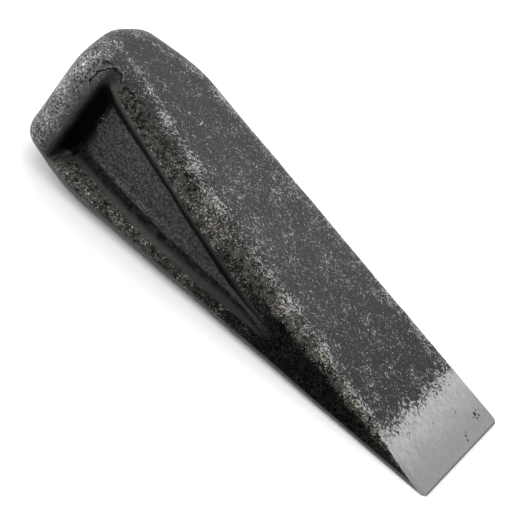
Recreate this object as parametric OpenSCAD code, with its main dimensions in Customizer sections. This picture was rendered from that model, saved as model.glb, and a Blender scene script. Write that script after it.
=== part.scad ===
// Felling wedge: one closed-die forging in steel, with a taper to a ground cutting edge,
// a short four-sided taper to the struck end, and a triangular pocket in each narrow side.
// The wedge is drawn about its own middle plane, with X running from the struck end to the
// cutting edge. It is then laid on its lower splitting face, which becomes the plane Z = 0.

/* [Overall] */
// Length from the struck end to the cutting edge
wedge_length = 200; // [190:1:230]

/* [Cutting edge] */
// Width across the cutting edge
edge_width = 70; // [60:1:78]
// Thickness left at the blunt cutting edge
edge_thickness = 1; // [0.8:0.1:2]
// Radius of the two corners of the cutting edge, seen from above
edge_corner_r = 2.5; // [1:0.5:4]
// Rounding of the long edges where they reach the cutting edge
edge_long_r = 0.4; // [0.2:0.1:0.4]

/* [Body] */
// Distance of the thickest section from the struck end
shoulder_x = 28; // [26:1:32]
// Half the length over which the short taper blends into the long one
shoulder_blend = 12; // [8:1:16]
// Width between the narrow sides at the thickest section
body_width = 55.5; // [53:0.5:60]
// Thickness between the splitting faces at the thickest section
body_thickness = 55; // [52:1:60]
// Rounding of the long edges at the thickest section, across the splitting faces
body_long_ry = 12; // [9:0.5:13]
// The same rounding, down the narrow sides
body_long_rz = 11; // [8:0.5:12]

/* [Struck end] */
// Width of the struck end, before its rounding
poll_width = 48; // [44:1:50]
// Thickness of the struck end, before its rounding
poll_thickness = 50; // [46:1:52]
// Rounding of the long edges where they reach the struck end, across the splitting faces
poll_long_ry = 19; // [12:0.5:20]
// The same rounding, down the narrow sides
poll_long_rz = 9; // [7:0.5:12]
// Length over which the struck end is crowned
crown_length = 9.5; // [8:0.5:11]
// Share of that length that the crown spans; the flat in its middle takes the place of the rest
crown_span = 0.98; // [0.95:0.01:0.99]
// Fullness of the crown seen from above, where 2 is an ellipse and more is squarer
crown_fullness = 3.2; // [2.8:0.1:4]
// Height that the crown takes off each splitting face
crown_drop = 2.3; // [1:0.1:4]
// Fullness of the crown seen from the side
crown_drop_fullness = 1.5; // [1.5:0.1:3]

/* [Side pockets] */
// Start of the pocket's mouth, from the struck end
mouth_x = 15.5; // [14:0.5:17]
// Height of the mouth at its closed end
mouth_height = 38; // [32:1:38]
// How far the middle of the mouth lies above the middle of the side, at its closed end
mouth_rise = 2.5; // [0:0.5:2.5]
// Point where the mouth narrows to nothing
mouth_tip_x = 126; // [120:1:128]
// Start of the pocket's floor, from the struck end
floor_x = 21; // [20:0.5:22]
// Height of the floor at its closed end
floor_height = 25; // [20:1:26]
// Point where the floor narrows to nothing
floor_tip_x = 118; // [112:1:119]
// Depth of the floor below the side, at its closed end
floor_depth = 10.5; // [8:0.5:11]
// Depth of the floor below the side, at its tip
floor_tip_depth = 0.6; // [0.4:0.1:1.5]
// Rounding between the pocket's walls and its floor
pocket_r = 3; // [1.5:0.5:3]

/* [Hidden] */

// Steps in a quarter turn of a long edge, in the rounding of an end, and in the blend
edge_steps = 8;
end_steps = 8;
blend_steps = 8;
// Least half width left flat between two long edges
least_flat = 0.1;
// How far the pocket's cutter runs on past the side, and the facets of its corners
mouth_overrun = 3;
corner_facets = 24;

long_run = wedge_length - shoulder_x;
side_flare = (edge_width - body_width) / 2 / long_run;
face_taper = (edge_thickness - body_thickness) / 2 / long_run;
poll_side_taper = (body_width - poll_width) / 2 / shoulder_x;
poll_face_taper = (body_thickness - poll_thickness) / 2 / shoulder_x;
lie_angle = atan(-face_taper);

// Distance short of the thickest section, faded smoothly to nothing across the blend
function short_of_shoulder(x) =
    x <= shoulder_x - shoulder_blend ? shoulder_x - x :
    x >= shoulder_x + shoulder_blend ? 0 :
    pow(shoulder_x + shoulder_blend - x, 2) / (4 * shoulder_blend);

// Share of a rounding's radius that is lost at a distance from the end of the part
function round_loss(distance, radius) =
    distance >= radius ? 0 : 1 - sqrt(1 - pow(1 - distance / radius, 2));

// Share of the full size that the crowned struck end has at x
function crown_share(x, fullness) =
    x >= crown_length ? 1 :
    pow(1 - pow(crown_span * (1 - x / crown_length), fullness), 1 / fullness);

// Half the width and half the thickness of the section at x
function side_y(x) =
    body_width / 2 + side_flare * (x - shoulder_x)
    - (poll_side_taper - side_flare) * short_of_shoulder(x);
function half_width(x) =
    side_y(x) * crown_share(x, crown_fullness)
    - edge_corner_r * round_loss(wedge_length - x, edge_corner_r);
function half_thickness(x) =
    body_thickness / 2 + face_taper * (x - shoulder_x)
    - (poll_face_taper - face_taper) * short_of_shoulder(x)
    - crown_drop * (1 - crown_share(x, crown_drop_fullness));

// Rounding of the four long edges at x, which runs from poll to body and then to edge_long_r
function long_r(x, poll, body) =
    x < shoulder_x
    ? poll + (body - poll) * x / shoulder_x
    : body + (edge_long_r - body) * (x - shoulder_x) / long_run;

// Sections from the struck end to the cutting edge
section_x = concat(
    [for (i = [0 : end_steps]) crown_length * (1 - cos(90 * i / end_steps))],
    [for (i = [0 : blend_steps]) shoulder_x + shoulder_blend * (2 * i / blend_steps - 1)],
    [for (i = [0 : end_steps]) wedge_length - edge_corner_r * (1 - sin(90 * i / end_steps))]
);

// One section: a rectangle with four rounded corners, each a quarter of an ellipse
function section_ring(x) =
    let (
        ry = min(long_r(x, poll_long_ry, body_long_ry), half_width(x) - least_flat),
        rz = long_r(x, poll_long_rz, body_long_rz),
        y = half_width(x) - ry,
        z = half_thickness(x) - rz)
    [for (quarter = [0 : 3], i = [0 : edge_steps])
        let (a = 90 * (quarter + i / edge_steps))
        [x,
         (quarter == 0 || quarter == 3 ? y : -y) + ry * cos(a),
         (quarter < 2 ? z : -z) + rz * sin(a)]];

// Tip from the middle plane's own frame until the lower splitting face is level
function laid(p) =
    [p[0] * cos(lie_angle) + p[2] * sin(lie_angle),
     p[1],
     p[2] * cos(lie_angle) - p[0] * sin(lie_angle)];

ring_size = 4 * (edge_steps + 1);
ring_count = len(section_x);
body_points = [for (x = section_x, p = section_ring(x)) p];
laid_x = [for (p = body_points) laid(p)[0]];
lower_face_z = laid([shoulder_x + shoulder_blend, 0, -half_thickness(shoulder_x + shoulder_blend)])[2];

// Skin the sections into one solid, with a flat cap at each end
module forged_envelope() {
    skin = [for (ring = [0 : ring_count - 2], i = [0 : ring_size - 1])
        let (a = ring * ring_size, next = (i + 1) % ring_size)
        [a + i, a + next, a + ring_size + next, a + ring_size + i]];
    poll_cap = [for (i = [ring_size - 1 : -1 : 0]) i];
    edge_cap = [for (i = [0 : ring_size - 1]) (ring_count - 1) * ring_size + i];
    polyhedron(points = body_points, faces = concat(skin, [poll_cap, edge_cap]));
}

// Centre of the ball in one corner of a pocket, on the side at y < 0. The corner's line runs
// from floor_at to mouth_at, both [x, z], and the ball's centre is inset from that line.
// Outward is 0 at the floor and 1 at the mouth.
function corner_ball(floor_at, mouth_at, depth, inset, outward) =
    let (at = floor_at + (mouth_at - floor_at) * outward + inset)
    [at[0], depth * (1 - outward) - side_y(floor_at[0]) - pocket_r, at[1]];

// The cutter of one pocket: a triangle that grows from its floor to its mouth and runs on past it
module pocket_cutter() {
    wall_draft = atan((mouth_height - floor_height) / 2 / floor_depth);
    tip_half_angle = atan(floor_height / 2 / (floor_tip_x - floor_x));
    wall_inset = pocket_r * tan((90 - wall_draft) / 2);
    tip_inset = wall_inset / sin(tip_half_angle);
    hull()
        for (outward = [0, 1 + mouth_overrun / floor_depth]) {
            for (end = [-1, 1])
                translate(corner_ball(
                    [floor_x, end * floor_height / 2], [mouth_x, mouth_rise + end * mouth_height / 2],
                    floor_depth, [wall_inset, -end * wall_inset], outward))
                    sphere(r = pocket_r, $fn = corner_facets);
            translate(corner_ball(
                [floor_tip_x, 0], [mouth_tip_x, 0], floor_tip_depth, [-tip_inset, 0], outward))
                sphere(r = pocket_r, $fn = corner_facets);
        }
}

module wedge_body() {
    color("dimgray")
        translate([-(min(laid_x) + max(laid_x)) / 2, 0, -lower_face_z])
            rotate([0, lie_angle, 0])
                difference() {
                    forged_envelope();
                    for (side = [0, 1])
                        mirror([0, side, 0])
                            pocket_cutter();
                }
}

wedge_body();
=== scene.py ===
"""Looks of a felling wedge: one steel forging, dark with scale, with its cutting end ground bare."""
import math

import bpy
import numpy as np
from mathutils import Matrix, Vector, noise


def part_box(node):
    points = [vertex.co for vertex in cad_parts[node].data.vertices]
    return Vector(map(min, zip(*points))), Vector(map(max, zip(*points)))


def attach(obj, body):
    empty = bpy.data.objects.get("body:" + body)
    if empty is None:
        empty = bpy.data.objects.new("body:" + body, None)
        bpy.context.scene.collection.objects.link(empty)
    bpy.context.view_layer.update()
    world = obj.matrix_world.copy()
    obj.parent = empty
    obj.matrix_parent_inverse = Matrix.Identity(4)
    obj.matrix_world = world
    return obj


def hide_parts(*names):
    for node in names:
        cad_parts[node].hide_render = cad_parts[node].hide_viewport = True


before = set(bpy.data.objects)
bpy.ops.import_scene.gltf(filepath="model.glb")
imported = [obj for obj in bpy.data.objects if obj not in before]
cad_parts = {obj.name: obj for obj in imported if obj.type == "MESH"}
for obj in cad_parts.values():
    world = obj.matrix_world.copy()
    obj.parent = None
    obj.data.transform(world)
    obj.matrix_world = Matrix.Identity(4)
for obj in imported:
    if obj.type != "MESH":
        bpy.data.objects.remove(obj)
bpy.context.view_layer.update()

# The forging in millimetres, about its own middle plane: X runs from the struck end to the
# cutting edge, Y across the width and Z through the thickness.
MM = 0.001
LENGTH = 200.0
SHOULDER_X = 28.0
SHOULDER_BLEND = 12.0
EDGE_WIDTH, BODY_WIDTH, POLL_WIDTH = 70.0, 55.5, 48.0
EDGE_THICKNESS, BODY_THICKNESS, POLL_THICKNESS = 1.0, 55.0, 50.0
LONG_RUN = LENGTH - SHOULDER_X
CROWN_LENGTH, CROWN_SPAN, CROWN_FULLNESS = 9.5, 0.98, 3.2
CROWN_DROP, CROWN_DROP_FULLNESS = 2.3, 1.5
CROWN_BULGE = 0.25
EDGE_CORNER_R = 2.5
# Rounding of the four long edges at stations along X, across the splitting face and down the side
ROUND_X = (0.0, 10.0, 28.0, 200.0)
ROUND_Y = (19.0, 16.8, 12.0, 0.4)
ROUND_Z = (9.0, 9.8, 11.0, 0.4)
# Least half width and half thickness left flat between two roundings
LEAST_FLAT_Y, LEAST_FLAT_Z = 0.5, 0.1
# The pocket in each narrow side: a mouth that tapers along X, and a flat floor that rises to its
# tip. The mouth's two long edges and the slopes of the walls under them are given at stations
# along X, for the wall above the middle of the side and for the one below it, and the two walls
# run into each other over WALL_BLEND to either side of the middle.
MOUTH_X, MOUTH_TIP_X = 15.5, 126.0
MOUTH_ABOVE = ((MOUTH_X, 70.0, MOUTH_TIP_X), (22.3, 9.6, 0.0))
MOUTH_BELOW = ((MOUTH_X, 33.0, 90.0, 121.0, MOUTH_TIP_X), (15.8, 13.9, 9.1, 3.8, 0.0))
SLOPE_ABOVE = ((60.0, 82.0, 105.0), (1.17, 0.85, 0.5))
SLOPE_BELOW = ((40.0, 60.0, 76.0, 92.0, 114.0), (4.0, 2.0, 1.05, 0.55, 0.22))
WALL_BLEND = 5.0
FLOOR_X, FLOOR_DEPTH = 21.0, 10.5
FLOOR_TIP_X, FLOOR_TIP_DEPTH = 119.0, 0.5
LEAST_DEPTH = 0.02
# The pocket's roundings, as shares of its depth
LIP_ABOVE, LIP_BELOW, FILLET_R, CORNER_REACH = 0.45, 0.27, 0.36, 0.3
# The lap that the dies folded round each pocket's closed end, as an arc in X and Z
LAP_X, LAP_Z, LAP_R = 17.5, 19.5, 5.5
# Where the grinding of the cutting end starts
GROUND_X = 175.0
# Unevenness of the forged skin, as (height, length) of its waves, longest first
WAVES = ((0.2, 17.0), (0.06, 5.0), (0.05, 1.6))

# How finely the skin is divided: stations along the length, then points around a quarter section
END_STATIONS, WALL_STATIONS, POCKET_STATIONS, BODY_STATIONS, EDGE_STATIONS = 24, 48, 150, 96, 12
WALL_END_X, POCKET_END_X = 25.0, 125.0
FLAT_POINTS, ROUND_POINTS, SIDE_POINTS = 16, 16, 36
TRACE_POINTS = 200
CAP_RINGS = 10


# ---------------------------------------------------------------- shape

def ease(value, low, high):
    """0 at low, 1 at high, and smooth between them."""
    t = np.clip((value - low) / (high - low), 0, 1)
    return t * t * (3 - 2 * t)


def smooth_min(a, b, reach):
    """The smaller of a and b, with their corner rounded off over reach."""
    blend = np.maximum(reach - np.abs(a - b), 0) / reach
    return np.minimum(a, b) - blend * blend * reach / 4


def short_of_shoulder(x):
    """Distance short of the thickest section, faded to nothing across the blend."""
    curve = (SHOULDER_X + SHOULDER_BLEND - x) ** 2 / (4 * SHOULDER_BLEND)
    return np.where(x <= SHOULDER_X - SHOULDER_BLEND, SHOULDER_X - x,
                    np.where(x >= SHOULDER_X + SHOULDER_BLEND, 0, curve))


def tapered_half(x, poll, body, edge):
    """Half of a dimension that grows from poll to body over the shoulder, then runs to edge."""
    flare = (edge - body) / 2 / LONG_RUN
    taper = (body - poll) / 2 / SHOULDER_X
    return body / 2 + flare * (x - SHOULDER_X) - (taper - flare) * short_of_shoulder(x)


def round_loss(distance, radius):
    """Share of a rounding's radius that is lost at a distance from the end of the part."""
    share = 1 - np.clip(distance / radius, 0, 1)
    return 1 - np.sqrt(1 - share * share)


def crown_share(x, fullness):
    """Share of the full size that the crowned struck end has at x."""
    short = CROWN_SPAN * (1 - np.clip(x / CROWN_LENGTH, 0, 1))
    return (1 - short ** fullness) ** (1 / fullness)


def side_y(x):
    """Half the width between the two narrow sides at x, before the ends' rounding."""
    return tapered_half(x, POLL_WIDTH, BODY_WIDTH, EDGE_WIDTH)


def half_width(x):
    """Half the width of the section at x."""
    return (side_y(x) * crown_share(x, CROWN_FULLNESS)
            - EDGE_CORNER_R * round_loss(LENGTH - x, EDGE_CORNER_R))


def half_thickness(x):
    """Half the thickness of the section at x."""
    return (tapered_half(x, POLL_THICKNESS, BODY_THICKNESS, EDGE_THICKNESS)
            - CROWN_DROP * (1 - crown_share(x, CROWN_DROP_FULLNESS)))


def floor_depth(x):
    """Depth of the pocket's flat floor below the narrow side at x."""
    start, end = side_y(FLOOR_X) - FLOOR_DEPTH, side_y(FLOOR_TIP_X) - FLOOR_TIP_DEPTH
    floor_y = start + (end - start) * (x - FLOOR_X) / (FLOOR_TIP_X - FLOOR_X)
    return np.maximum(side_y(x) - floor_y, LEAST_DEPTH)


def mouth_half(x, z):
    """Distance from the middle of the side to the mouth's long edge above or below it."""
    return np.where(z > 0, np.interp(x, *MOUTH_ABOVE), np.interp(x, *MOUTH_BELOW))


def pocket_depth(x, z):
    """How far the narrow side is sunk at x and z: a rounded lip, a wall, a fillet, the floor."""
    floor = floor_depth(x)
    upper = ease(z, -WALL_BLEND, WALL_BLEND)
    slope = np.interp(x, *SLOPE_ABOVE) * upper + np.interp(x, *SLOPE_BELOW) * (1 - upper)
    lip_r, fillet_r = floor * (LIP_ABOVE * upper + LIP_BELOW * (1 - upper)), floor * FILLET_R
    from_end = (x - MOUTH_X) * FLOOR_DEPTH / (FLOOR_X - MOUTH_X) / slope
    from_edge = mouth_half(x, z) - np.abs(z)
    inward = smooth_min(from_edge, from_end, CORNER_REACH * floor + LEAST_DEPTH / 2)
    turn = np.arctan(slope)
    past_lip = inward + lip_r * np.tan(turn / 2)
    past_fillet = floor / slope + fillet_r * np.tan(turn / 2) - inward
    lip = lip_r - np.sqrt(np.maximum(lip_r ** 2 - np.maximum(past_lip, 0) ** 2, 0))
    fillet = np.sqrt(np.maximum(fillet_r ** 2 - np.maximum(past_fillet, 0) ** 2, 0)) + floor - fillet_r
    depth = np.where(past_lip < lip_r * np.sin(turn), lip, inward * slope)
    return np.where(past_fillet < fillet_r * np.sin(turn), fillet, depth)


def station_x():
    """Stations along the length: close together at the ends and at the pocket's end wall."""
    quarter = np.linspace(0, math.pi / 2, END_STATIONS)
    ends = CROWN_LENGTH * (1 - np.cos(quarter))
    edge = LENGTH - EDGE_CORNER_R * (1 - np.sin(np.linspace(0, math.pi / 2, EDGE_STATIONS)))
    wall = np.linspace(ends[-1], WALL_END_X, WALL_STATIONS)[1:]
    pocket = np.linspace(WALL_END_X, POCKET_END_X, POCKET_STATIONS)[1:]
    body = np.linspace(POCKET_END_X, edge[0], BODY_STATIONS)[1:-1]
    return np.concatenate([ends, wall, pocket, body, edge])


def quarter_section(x):
    """Points of one quarter of the section at x, from the middle of the upper face at y = 0 to
    the middle of the side at z = 0, as (y, z, share of the way round the long edge)."""
    width, thick = half_width(x), half_thickness(x)
    round_y = min(np.interp(x, ROUND_X, ROUND_Y), width - LEAST_FLAT_Y)
    round_z = min(np.interp(x, ROUND_X, ROUND_Z), thick - LEAST_FLAT_Z)
    flat_y = np.linspace(0, width - round_y, FLAT_POINTS + 1)
    turn = np.linspace(0, math.pi / 2, ROUND_POINTS + 1)[1:]
    round_at = [width - round_y + round_y * np.sin(turn), thick - round_z + round_z * np.cos(turn)]
    trace_z = np.linspace(thick - round_z, 0, TRACE_POINTS)
    trace_depth = pocket_depth(x, trace_z)
    run = np.concatenate([[0], np.cumsum(np.hypot(np.diff(trace_z), np.diff(trace_depth)))])
    side_z = np.interp(np.linspace(0, run[-1], SIDE_POINTS + 1)[1:], run, trace_z)
    y = np.concatenate([flat_y, round_at[0], np.full(SIDE_POINTS, width)])
    z = np.concatenate([np.full(FLAT_POINTS + 1, thick), round_at[1], side_z])
    way = np.concatenate([np.zeros(FLAT_POINTS + 1), turn / (math.pi / 2), np.ones(SIDE_POINTS)])
    return y - pocket_depth(x, z), z, way


def whole_section(x):
    """The closed ring at x, in four mirrored quarters, as rows of (x, y, z, way)."""
    quarter = np.stack(quarter_section(x), 1)
    back = quarter[::-1]
    quarters = [quarter, back * (1, -1, 1), quarter * (-1, -1, 1), back * (-1, 1, 1)]
    ring = np.concatenate([rows[:-1] for rows in quarters])
    return np.insert(ring, 0, x, axis=1)


def forging_points():
    """All the skin's points, ring by ring, with the struck end's cap first, and a ring's length."""
    rings = [whole_section(x) for x in station_x()]
    cap = []
    for step in range(1, CAP_RINGS + 1):
        share = step / (CAP_RINGS + 1)
        ring = rings[0] * (1, share, share, 0)
        ring[:, 0] = -CROWN_BULGE * (1 - share * share)
        cap.append(ring)
    return np.concatenate(cap + rings), len(rings[0])


def lie_matrix():
    """Tips the forging's own frame until it lies on its lower splitting face, in the CAD box."""
    tip = math.atan((BODY_THICKNESS - EDGE_THICKNESS) / 2 / LONG_RUN)
    tipped = Matrix.Rotation(tip, 4, "Y") @ Matrix.Scale(MM, 4)
    start = SHOULDER_X + SHOULDER_BLEND
    lower = tipped @ Vector((start, 0, -float(half_thickness(start))))
    edge = tipped @ Vector((LENGTH, 0, EDGE_THICKNESS / 2))
    low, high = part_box("wedge_body")
    return Matrix.Translation((high.x - edge.x, 0, low.z - lower.z)) @ tipped


LIE = lie_matrix()


def roughen(points, normals):
    """Moves the skin by the small unevenness of a hammered and scaled forging."""
    forged = 1 - ease(points[:, 0], GROUND_X - 10, GROUND_X)
    heights = [sum(height * noise.noise(p / length) for height, length in WAVES)
               for p in map(Vector, points)]
    return points + normals * (forged * np.array(heights))[:, None]


def skin_faces(around, count):
    """Quads between count rings of points, and one flat face at each end."""
    faces = [tuple(range(around))[::-1]]
    for a in range(0, (count - 1) * around, around):
        b = a + around
        faces += [(a + i, a + (i + 1) % around, b + (i + 1) % around, b + i) for i in range(around)]
    faces.append(tuple((count - 1) * around + i for i in range(around)))
    return faces


def build_skin():
    """The whole forging as one mesh, which keeps its own frame's points and masks as attributes."""
    table, around = forging_points()
    points, way = table[:, :3], table[:, 3]
    mesh = bpy.data.meshes.new("wedge_skin")
    mesh.from_pydata([tuple(p) for p in points], [], skin_faces(around, len(points) // around))
    mesh.update()
    normals = np.zeros(len(points) * 3, np.float32)
    mesh.vertices.foreach_get("normal", normals)
    masks = skin_masks(points, way)
    rough = roughen(points, normals.reshape(-1, 3))
    mesh.vertices.foreach_set("co", rough.astype(np.float32).ravel())
    for name, values in masks.items():
        mesh.attributes.new(name, "FLOAT", "POINT").data.foreach_set("value", values.astype(np.float32))
    own = mesh.attributes.new("forged", "FLOAT_VECTOR", "POINT")
    own.data.foreach_set("vector", points.astype(np.float32).ravel())
    mesh.transform(LIE)
    mesh.shade_smooth()
    mesh.set_sharp_from_angle(angle=math.radians(50))
    mesh.validate()
    skin = bpy.data.objects.new("wedge_skin", mesh)
    bpy.context.scene.collection.objects.link(skin)
    return skin


# Where the wear, the scale and the painted light change, as stations along X and values there: the
# brightest line of the crest past the start of the rounding, the drop below the splitting face at
# which the unworn side, darkened partly as painted shade, starts and is fully dark, the height of the
# painted floor reflection along a side's lowest edge, and the shares of the way round the long edge
# between which the side's colour takes over.
CREST_AT = ((10, 30, 55, 90, 126, 154, 200), (-0.5, 0.7, 3.5, 4.5, 3.0, 1.0, 0.0))
CREST_SPREAD = 3.6
DARK_FROM = ((28, 100, 180), (5.0, 4.5, 0.6))
DARK_TO = ((28, 100, 180), (9.5, 10.5, 4.0))
FLOOR_REFLECTION_STRIP = ((0, 28, 150, 200), (6, 6, 2.4, 1.2))
SIDE_FROM = ((6, 30), (0.01, 0.22))
SIDE_TO = ((6, 30), (0.25, 0.5))
MASKS = ("side", "low_side", "crest", "floor", "wall", "shade", "crease_shade", "under")


def skin_masks(points, way):
    """What the material needs to know about each point of the skin, as shares from 0 to 1: side is
    the narrow side's colour, low_side the part of it that tumbling hasn't worn, darkened towards the
    cutting edge partly as painted shade, crest the worn long edges, floor and wall the pocket's, shade
    the painted shade in the pocket's closed end and under its upper lip, crease the painted shade
    along the fillet of its lower wall, and under a painted reflection of the floor along a side's
    lowest edge."""
    x, y, z = points.T
    on_side = np.abs(y) + pocket_depth(x, z) > 0.8 * half_width(x)
    depth = pocket_depth(x, z) * on_side
    share = depth / floor_depth(x)
    by_end = 1 - ease(x, FLOOR_X + 1.2, FLOOR_X + 2.2)
    above = z > 0
    starts = np.where(above, 0.006, 0.006 + 0.07 * (1 - by_end))
    from_edge = mouth_half(x, z) - np.abs(z)
    # The lip at the pocket's closed end takes the wall colour, darkened there as painted shade.
    end_lip = ease(x, MOUTH_X - 4.6, MOUTH_X + 0.2) * ease(from_edge, -5, -0.5) * by_end * (way > 0.3)
    wall = np.maximum(ease(share, starts, starts + 0.06), end_lip) * (1 - ease(share, 0.95, 0.995))
    fading = 1 - ease(x, 112, MOUTH_TIP_X)
    fillet = ease(share, 0.3, 0.85) * (1 - ease(share, 0.96, 0.998)) * (1 - by_end)
    # Painted shade under the pocket's upper lip, where it overhangs the floor.
    overhang = 0.97 * ease(share, 0.1, 0.75) * (1 - ease(share, 0.97, 0.998)) * above
    past_crest = np.abs(y) - half_width(x) + np.interp(x, ROUND_X, ROUND_Y)
    off_crest = (past_crest - np.interp(x, *CREST_AT)) / CREST_SPREAD
    drop = half_thickness(x) - z
    above_strip = (half_thickness(x) + z) / np.interp(x, *FLOOR_REFLECTION_STRIP)
    side = ease(way, np.interp(x, *SIDE_FROM), np.interp(x, *SIDE_TO))
    return {
        "side": np.maximum(side, 1 - ease(x, 0.2, 2.5)),
        "low_side": ease(drop, np.interp(x, *DARK_FROM), np.interp(x, *DARK_TO)) * (way > 0),
        "crest": np.exp(-off_crest ** 2) * (1 - ease(way, 0.6, 1.0)),
        "floor": ease(share, 0.95, 0.995) * (1 - by_end * 0.6) * fading,
        "wall": wall * fading,
        # shade: painted shade, near black deep in the pocket's closed end and under its upper lip
        "shade": np.maximum(ease(depth, 0.8, 3.4) * by_end, overhang),
        # crease: painted shade along the fillet of the pocket's lower wall
        "crease_shade": fillet * (1 - above),
        # under: a painted reflection of the floor, pale along a side's lowest edge
        "under": (1 - ease(above_strip, 0.8, 1.25)) * (way > 0) * ease(x, 3, 12),
    }


# ---------------------------------------------------------------- material

class Graph:
    """Short ways to build a material's nodes. Values may be sockets or plain numbers."""

    def __init__(self, name):
        self.material = bpy.data.materials.new(name)
        self.material.use_nodes = True
        self.tree = self.material.node_tree
        self.shader = self.tree.nodes["Principled BSDF"]

    def feed(self, socket, value):
        if isinstance(value, bpy.types.NodeSocket):
            self.tree.links.new(value, socket)
        else:
            socket.default_value = value

    def add(self, kind, output, values=None, **settings):
        node = self.tree.nodes.new(kind)
        for key, value in settings.items():
            setattr(node, key, value)
        for key, value in (values or {}).items():
            self.feed(node.inputs[key], value)
        return node.outputs[output]

    def calc(self, operation, a, b=0.0, clamp=False):
        return self.add("ShaderNodeMath", 0, {0: a, 1: b}, operation=operation, use_clamp=clamp)

    def plus(self, *terms):
        total = terms[0]
        for term in terms[1:]:
            total = self.calc("ADD", total, term)
        return total

    def times(self, a, b):
        return self.calc("MULTIPLY", a, b)

    def remap(self, value, low, high, to_low=0.0, to_high=1.0):
        values = {"Value": value, "From Min": low, "From Max": high, "To Min": to_low, "To Max": to_high}
        return self.add("ShaderNodeMapRange", 0, values, interpolation_type="SMOOTHSTEP")

    def mix(self, share, a, b):
        node = self.tree.nodes.new("ShaderNodeMix")
        node.data_type = "RGBA"
        self.feed(node.inputs[0], share)
        self.feed(node.inputs[6], a)
        self.feed(node.inputs[7], b)
        return node.outputs[2]

    def read(self, name):
        return self.add("ShaderNodeAttribute", "Fac", attribute_name=name)

    def noise(self, where, size, detail=2.0, roughness=0.5, distortion=0.0):
        """Noise whose features are about size millimetres across."""
        values = {"Vector": where, "Scale": 1 / size, "Detail": detail,
                  "Roughness": roughness, "Distortion": distortion}
        return self.add("ShaderNodeTexNoise", "Fac", values)

    def stretched(self, where, turn, along, across, shift=0.0):
        """Noise drawn out along a direction that is turned from X about Z, in degrees."""
        values = {"Vector": where, "Rotation": (0, 0, math.radians(turn)), "Location": (shift, 0, 0)}
        turned = self.add("ShaderNodeMapping", 0, values)
        size = (1 / along, 1 / across, 1 / across)
        drawn = self.add("ShaderNodeMapping", 0, {"Vector": turned, "Scale": size})
        return self.add("ShaderNodeTexNoise", "Fac", {"Vector": drawn, "Scale": 1.0, "Detail": 1.0})

    def tones(self, share, dark, light, tint=(1.0, 1.0, 1.0)):
        """A grey that runs from dark to light, both in the same tint."""
        return self.mix(share, grey(dark, tint), grey(light, tint))


def grey(level, tint=(1.0, 1.0, 1.0)):
    """A linear colour with alpha."""
    return tuple(level * t for t in tint) + (1.0,)


# Tints, which multiply a grey
COOL = (0.995, 0.975, 1.05)
OLIVE = (1.05, 1.01, 0.9)
RUST = (1.8, 0.75, 0.5)
BROWN = (1.03, 1.0, 0.985)
BARE = (0.985, 1.0, 0.985)
WARM = (1.015, 0.995, 1.0)
# Scratches, as (turn in degrees, length and width in millimetres, how rare they are)
SHORT_SCRATCHES = tuple((turn, 3.2, 0.4, 0.72) for turn in (15.0, -42.0, 68.0, 118.0))
LONG_SCRATCHES = ((-14.0, 13.0, 0.35, 0.735), (46.0, 10.0, 0.35, 0.735))
# Pits left in the ground face, as (x, y, radius) in millimetres
GROUND_PITS = ((192.2, 25.0, 0.8), (194.0, 24.6, 0.6), (193.4, 26.8, 0.5), (191.2, 27.2, 0.4),
               (192.8, 22.9, 0.35), (195.4, 10.6, 0.55), (197.1, 9.8, 0.35), (194.6, 12.2, 0.25),
               (176.4, -25.6, 0.4), (180.4, -18.7, 0.3), (184.0, -2.0, 0.25), (186.5, 15.0, 0.25))
# Pits beside the folded lap, as (x, y, z, radius)
LAP_PITS = ((11.1, 19.0, 24.1, 0.8), (13.0, 19.0, 24.4, 0.9), (14.3, 19.0, 24.7, 0.8),
            (15.7, 19.6, 24.7, 0.6), (11.0, 20.3, 23.4, 0.4), (12.2, 17.5, 24.8, 0.4))


def face_colour(g, where, x, fine):
    """The scale of the splitting faces: cool, in soft patches, and darker towards both ends."""
    colour = g.tones(g.remap(fine, 0.38, 0.64), 0.024, 0.064, COOL)
    patch = g.noise(where, 26.0, 2.0)
    colour = g.mix(g.remap(patch, 0.35, 0.62, 0.0, 0.4), colour, grey(0.034, COOL))
    colour = g.mix(g.remap(x, 100.0, 172.0, 0.0, 0.8), colour, grey(0.017, COOL))
    return g.mix(g.remap(x, 48.0, 12.0, 0.0, 0.55), colour, grey(0.024, COOL))


def shoulder_colour(g, x, fine, mottle):
    """The scale of the shoulders and of the side round the pocket, paler round the struck end as painted
    light.
    """
    colour = g.tones(g.remap(mottle, 0.43, 0.57), 0.006, 0.053, OLIVE)
    # Painted light: a paler tone round the struck end.
    by_poll = g.tones(g.remap(fine, 0.43, 0.58), 0.02, 0.13, COOL)
    return g.mix(g.remap(x, 17.0, 8.0), colour, by_poll)


def unworn_and_shaded_colour(g, where, x, shoulder, low_side):
    """The side towards the cutting edge: near black below a ragged line, partly the unworn scale's own
    dark and partly painted shade, with specks of rust.
    """
    blotch = g.noise(where, 1.4, 4.0, 0.8)
    # Near black: unworn scale, with painted shade.
    dark = g.tones(g.remap(blotch, 0.46, 0.57), 0.0006, 0.007)
    dark = g.mix(g.remap(x, 168.0, 190.0, 0.0, 0.7), dark, grey(0.016, OLIVE))
    ragged = g.plus(low_side, g.times(g.noise(where, 1.8, 3.0, 0.8), 2.4), -1.2)
    colour = g.mix(g.remap(ragged, 0.3, 0.75), shoulder, dark)
    rust = g.remap(g.noise(where, 1.5, 2.0, 0.6), 0.66, 0.71)
    return g.mix(g.times(rust, low_side), colour, grey(0.011, RUST))


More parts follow.
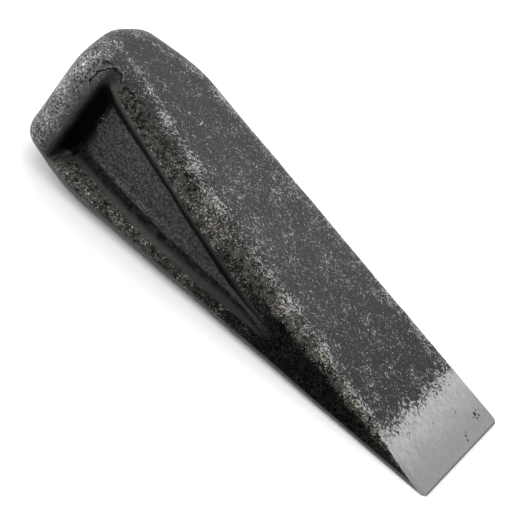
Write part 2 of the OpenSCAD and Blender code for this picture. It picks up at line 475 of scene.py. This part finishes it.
def wall_colour(g, x):
    """The pocket's walls: smooth, and darker over the lip at the closed end, which is painted shade."""
    long_wall = g.mix(g.remap(x, 60.0, 115.0), grey(0.044, BROWN), grey(0.03, BROWN))
    # Painted shade over the lip of the closed end.
    end_lip = g.mix(g.remap(x, MOUTH_X - 3.0, MOUTH_X + 1.5), grey(0.045, COOL), grey(0.014, COOL))
    return g.mix(g.remap(x, FLOOR_X, FLOOR_X - 3.0), long_wall, end_lip)


def floor_colour(g, where, x):
    """The pocket's leathery floor, which darkens towards its tip as painted shade."""
    leather = g.remap(g.noise(where, 1.0, 3.0, 0.75, 0.6), 0.4, 0.62)
    colour = g.tones(leather, 0.022, 0.084, COOL)
    # Painted shade: the floor darkens towards the tip.
    return g.mix(g.remap(x, 40.0, 112.0, 0.0, 0.7), colour, grey(0.018, COOL))


def scale_colour(g, where, x, masks):
    """All the forge scale, from the splitting faces down into the pockets, with painted shade in the
    pockets and a painted floor reflection along the lowest edges.
    """
    fine = g.noise(where, 1.0, 4.0, 0.8)
    mottle = g.noise(where, 2.2, 5.0, 0.85)
    shoulder = shoulder_colour(g, x, fine, mottle)
    unworn_and_shaded = unworn_and_shaded_colour(g, where, x, shoulder, masks["low_side"])
    colour = g.mix(masks["side"], face_colour(g, where, x, fine), shoulder)
    # The side darkens towards the cutting edge: unworn scale, and partly painted shade.
    colour = g.mix(g.times(g.remap(x, 60.0, 120.0), masks["side"]), colour, unworn_and_shaded)
    colour = g.mix(g.times(masks["wall"], 0.94), colour, wall_colour(g, x))
    colour = g.mix(masks["floor"], colour, floor_colour(g, where, x))
    # Painted shade along the fillet of the pocket's lower wall, unevenly strong.
    uneven = g.remap(g.noise(where, 2.2, 4.0, 0.75), 0.38, 0.6, 0.55, 0.95)
    colour = g.mix(g.times(masks["crease_shade"], uneven), colour, grey(0.0025, OLIVE))
    # Painted shade: near black in the pocket's closed end and under its upper lip.
    pocket_shade = g.times(masks["shade"], g.remap(mottle, 0.3, 0.62, 1.0, 0.9))
    colour = g.mix(pocket_shade, colour, grey(0.001, COOL))
    # A painted reflection of the floor: a pale strip along each side's lowest edge.
    return g.mix(masks["under"], colour, grey(0.105))


def wear_density(g, where, x, masks):
    """How thickly the flecks lie: in clouds, most along the crests, least on the faces' far part."""
    cloud = g.noise(where, 8.0, 3.0, 0.6)
    off_crest = g.calc("SUBTRACT", 1.0, masks["crest"])
    rim = g.times(masks["low_side"], g.remap(x, 14.0, 24.0))
    return g.plus(
        g.remap(cloud, 0.3, 0.7, -0.03, 0.055),
        g.remap(x, 10.0, 85.0, -0.055, 0.0),
        g.times(masks["crest"], g.remap(x, 40.0, 90.0, 0.084, 0.066)),
        g.times(masks["side"], g.remap(x, 17.0, 6.0, 0.0, 0.1)),
        g.times(rim, g.remap(x, 75.0, 35.0, 0.0, 0.04)),
        g.times(off_crest, g.remap(x, 85.0, 130.0, 0.0, -0.012)))


def wear(g, where, x, masks):
    """Bright flecks and scratches where tumbling has worn the scale, and hardly any where the
    skin lies sheltered or carries the painted floor reflection."""
    density = wear_density(g, where, x, masks)
    wall = g.times(masks["wall"], g.remap(x, MOUTH_X - 2.0, MOUTH_X + 1.5))
    # No flecks on the painted floor reflection either.
    pocket = g.calc("MAXIMUM", wall, g.calc("MAXIMUM", masks["floor"], masks["under"]))
    unworn_and_shaded = g.times(g.remap(x, 85.0, 125.0), masks["low_side"])
    open_share = g.calc("SUBTRACT", 1.0, g.calc("MAXIMUM", pocket, g.times(unworn_and_shaded, 0.82)), clamp=True)
    marks = g.remap(g.calc("ADD", g.noise(where, 0.95, 3.0, 0.85, 0.3), density), 0.632, 0.66)
    for turn, along, across, need in SHORT_SCRATCHES + LONG_SCRATCHES:
        scratch = g.stretched(where, turn, along, across, 7.0 * turn)
        scratch = g.remap(g.calc("ADD", scratch, g.times(density, 0.6)), need, need + 0.035)
        marks = g.calc("MAXIMUM", marks, scratch)
    return g.times(marks, g.remap(open_share, 0.0, 1.0, 0.03, 1.0))


def lap_shares(g, where):
    """The folded lap as a dark crack, and the bright worn ridge that runs along its outer side."""
    flat = g.add("ShaderNodeVectorMath", 0, {0: where, 1: (1, 0, 1)}, operation="MULTIPLY")
    reach = g.add("ShaderNodeVectorMath", "Value", {0: flat, 1: (LAP_X, 0, LAP_Z)}, operation="DISTANCE")
    reach = g.plus(reach, g.times(g.noise(where, 2.2, 2.0), 2.2), g.times(g.noise(where, 0.8, 1.0), 0.7))
    past = g.add("ShaderNodeVectorMath", "Value", {0: flat, 1: (-0.7, 0, 0.7)}, operation="DOT_PRODUCT")
    middle = 0.7 * (LAP_Z - LAP_X)
    shown = g.remap(past, middle - 0.5, middle + 2.0)
    from_crack = g.calc("ABSOLUTE", g.calc("SUBTRACT", reach, LAP_R + 1.45))
    from_ridge = g.calc("ABSOLUTE", g.calc("SUBTRACT", reach, LAP_R + 2.1))
    broken = g.remap(g.noise(where, 1.6, 2.0), 0.42, 0.55, 0.15, 1.0)
    crack = g.times(shown, g.remap(from_crack, 0.36, 0.1))
    ridge = g.times(g.times(shown, broken), g.remap(from_ridge, 0.32, 0.06))
    return crack, ridge


def ground_share(g, where, x, masks):
    """Where the splitting faces are ground bare towards the cutting edge, with a ragged start."""
    wander = g.times(g.noise(where, 16.0, 2.0), 7.0)
    ragged = g.times(g.noise(where, 1.5, 4.0, 0.8), 36.0)
    reach = g.plus(x, wander, ragged, g.times(masks["low_side"], -70.0))
    return g.remap(reach, GROUND_X + 20.5, GROUND_X + 22.0)


def ground_colour(g, x, brushed):
    """Bare brushed steel, darker towards the cutting edge, with a dark line on the edge itself."""
    colour = g.tones(g.remap(brushed, 0.38, 0.62), 0.26, 0.38, BARE)
    colour = g.mix(g.remap(x, LENGTH - 24.0, LENGTH - 4.0, 0.0, 0.75), colour, grey(0.175, WARM))
    return g.mix(g.remap(x, LENGTH - 0.9, LENGTH - 0.2), colour, grey(0.08))


def spots(g, where, centres, ragged):
    """1 inside each spot, given as (centre, radius), with an uneven outline."""
    share = 0.0
    for centre, radius in centres:
        gap = g.add("ShaderNodeVectorMath", "Value", {0: where, 1: centre}, operation="DISTANCE")
        gap = g.calc("ADD", gap, ragged)
        share = g.calc("MAXIMUM", share, g.remap(gap, radius + 0.95, radius + 0.65))
    return share


def all_pits(g, where):
    """The pits of the ground face and of the folded lap."""
    ground = [((x, y, float(half_thickness(x))), radius) for x, y, radius in GROUND_PITS]
    lap = [((x, -y, z), radius) for x, y, z, radius in LAP_PITS]
    return spots(g, where, ground + lap, g.times(g.noise(where, 0.7, 1.0), 1.6))


def forged_steel():
    """The one material: forge scale, wear, the folded lap and the ground cutting end, with painted shade
    and a painted floor reflection.
    """
    g = Graph("forged_steel")
    where = g.add("ShaderNodeAttribute", "Vector", attribute_name="forged")
    split = g.tree.nodes.new("ShaderNodeSeparateXYZ")
    g.feed(split.inputs[0], where)
    x = split.outputs[0]
    masks = {name: g.read(name) for name in MASKS}
    worn = wear(g, where, x, masks)
    ground = ground_share(g, where, x, masks)
    brushed = g.stretched(where, 0.0, 25.0, 0.4)
    pits = all_pits(g, where)
    crack, ridge = lap_shares(g, where)

    fleck = g.mix(g.times(masks["side"], g.remap(x, 8.0, 20.0)), grey(0.36), grey(0.28, OLIVE))
    colour = g.mix(worn, scale_colour(g, where, x, masks), fleck)
    colour = g.mix(ground, colour, ground_colour(g, x, brushed))
    colour = g.mix(pits, colour, grey(0.01))
    colour = g.mix(ridge, colour, grey(0.13))
    colour = g.mix(crack, colour, grey(0.003))
    g.feed(g.shader.inputs["Base Color"], colour)
    g.shader.inputs["Metallic"].default_value = 1.0
    rough = g.mix(worn, grey(0.55), grey(0.4))
    g.feed(g.shader.inputs["Roughness"], g.mix(ground, rough, grey(0.4)))

    grain = g.plus(g.times(g.noise(where, 1.0, 4.0, 0.75), 0.9), g.times(worn, 0.12))
    leather = g.times(g.noise(where, 1.2, 3.0, 0.65, 0.6), g.times(masks["floor"], 2.2))
    height = g.plus(
        g.times(grain, g.remap(ground, 0.0, 1.0, 1.0, 0.03)),
        leather,
        g.times(g.times(brushed, ground), 0.12),
        g.times(pits, -1.5),
        g.times(crack, -1.5),
        g.times(ridge, 0.8))
    bump = g.add("ShaderNodeBump", 0, {"Height": height, "Strength": 1.0, "Distance": 0.2 * MM})
    g.feed(g.shader.inputs["Normal"], bump)
    return g.material


# ---------------------------------------------------------------- studio

# The camera's direction from the wedge, its roll, its lens in millimetres, its distance in metres,
# and the point of the forging that it aims at
CAMERA_AZIMUTH, CAMERA_ELEVATION = math.radians(13.42), math.radians(30.33)
CAMERA_ROLL = math.radians(30.52)
CAMERA_LENS, CAMERA_DISTANCE = 137.14, 0.7329
CAMERA_AIM = (98.53, -0.82, -0.96)
# Soft lamps, as (name, direction, distance, size, watts), and the brightness of the white room
SOFTBOXES = (("key", (-0.3, 0.8, 0.8), 1.6, (1.6, 1.0), 4),
             ("poll_fill", (-1.0, -0.35, 0.35), 1.2, (0.7, 0.7), 6))
LIT_POINT = Vector((0, 0, 0.02))
ROOM_STRENGTH = 1.36


def plain(name, colour, roughness):
    """A material of one colour."""
    material = bpy.data.materials.new(name)
    material.use_nodes = True
    shader = material.node_tree.nodes["Principled BSDF"]
    shader.inputs["Base Color"].default_value = colour
    shader.inputs["Roughness"].default_value = roughness
    return material


def add_floor():
    """A plain pale sheet, just under the lowest point of the uneven skin."""
    half = 3.0
    corners = [(-half, -half, 0), (half, -half, 0), (half, half, 0), (-half, half, 0)]
    mesh = bpy.data.meshes.new("floor")
    mesh.from_pydata(corners, [], [(0, 1, 2, 3)])
    mesh.materials.append(plain("floor_paper", grey(0.95), 0.9))
    floor = bpy.data.objects.new("floor", mesh)
    floor.location.z = -0.2 * MM
    bpy.context.scene.collection.objects.link(floor)


def add_softbox(name, direction, distance, size, watts):
    """A rectangular lamp that faces the middle of the wedge."""
    lamp = bpy.data.lights.new(name, "AREA")
    lamp.shape = "RECTANGLE"
    lamp.size, lamp.size_y = size
    lamp.energy = watts
    holder = bpy.data.objects.new(name, lamp)
    holder.location = LIT_POINT + Vector(direction).normalized() * distance
    holder.rotation_euler = (LIT_POINT - holder.location).to_track_quat("-Z", "Y").to_euler()
    bpy.context.scene.collection.objects.link(holder)


def add_world(strength):
    """White light from all around."""
    world = bpy.data.worlds.new("studio")
    world.use_nodes = True
    background = world.node_tree.nodes["Background"]
    background.inputs["Color"].default_value = grey(1.0)
    background.inputs["Strength"].default_value = strength
    bpy.context.scene.world = world


def add_camera():
    """The camera looks down on the pocketed side, rolled so that the wedge lies corner to corner."""
    aim = LIE @ Vector(CAMERA_AIM)
    camera = bpy.data.cameras.new("camera")
    camera.sensor_width = 36.0
    camera.lens = CAMERA_LENS
    holder = bpy.data.objects.new("camera", camera)
    toward = Vector((math.sin(CAMERA_AZIMUTH) * math.cos(CAMERA_ELEVATION),
                     -math.cos(CAMERA_AZIMUTH) * math.cos(CAMERA_ELEVATION),
                     math.sin(CAMERA_ELEVATION)))
    look = (-toward).to_track_quat("-Z", "Y").to_matrix().to_4x4()
    roll = Matrix.Rotation(CAMERA_ROLL, 4, "Z")
    holder.matrix_world = Matrix.Translation(aim + toward * CAMERA_DISTANCE) @ look @ roll
    bpy.context.scene.collection.objects.link(holder)
    bpy.context.scene.camera = holder


def main():
    skin = build_skin()
    skin.data.materials.append(forged_steel())
    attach(skin, "root")
    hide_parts("wedge_body")
    add_floor()
    add_world(ROOM_STRENGTH)
    for softbox in SOFTBOXES:
        add_softbox(*softbox)
    add_camera()
    bpy.context.scene.view_settings.view_transform = "Standard"


main()
